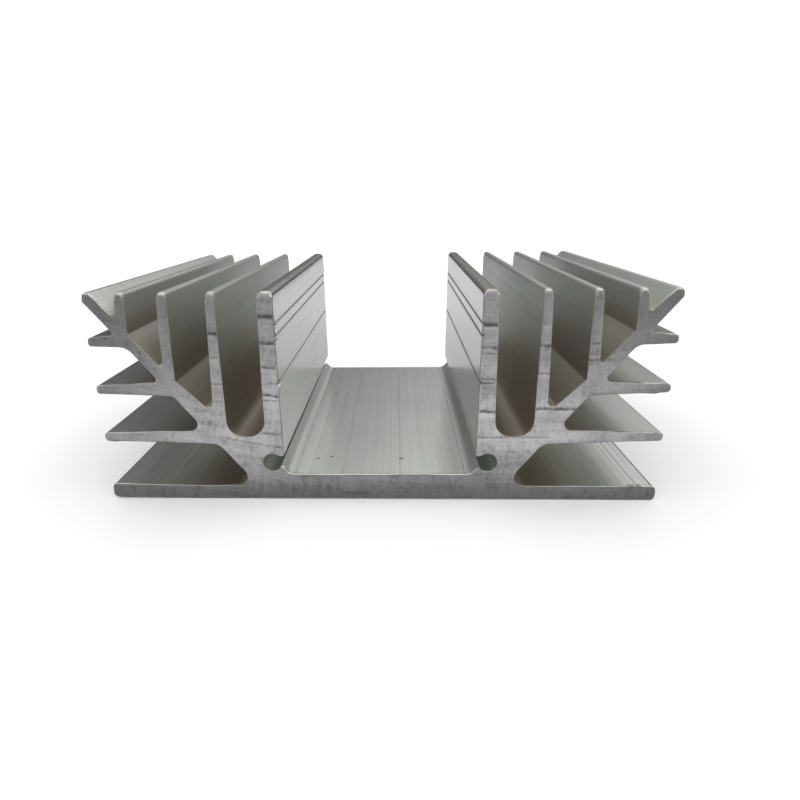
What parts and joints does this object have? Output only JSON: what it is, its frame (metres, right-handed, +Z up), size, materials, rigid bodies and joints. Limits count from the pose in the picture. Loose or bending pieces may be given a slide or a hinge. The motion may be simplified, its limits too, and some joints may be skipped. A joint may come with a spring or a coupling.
{
  "type": "extruded heat sink",
  "caption": "Aluminium heat sink sawn from one extrusion: flat base, open mounting channel with screw channels at its feet, upright cooling fins and stepped side fins on slanting arms.",
  "frame": {"origin": "middle of the underside, halfway along the sawn length", "axes": "+X across the fins, towards the right wing tip; +Y along the extrusion, away from the sawn end that is seen; +Z up, out of the open side of the mounting channel"},
  "size_m": [0.11, 0.08, 0.042],
  "materials": {
    "mill_aluminium": "mill finish, with die lines along the length and saw marks on the cut ends"
  },
  "bodies": {
    "root": {"heat_sink": "mill_aluminium"}
  },
  "joints": []
}
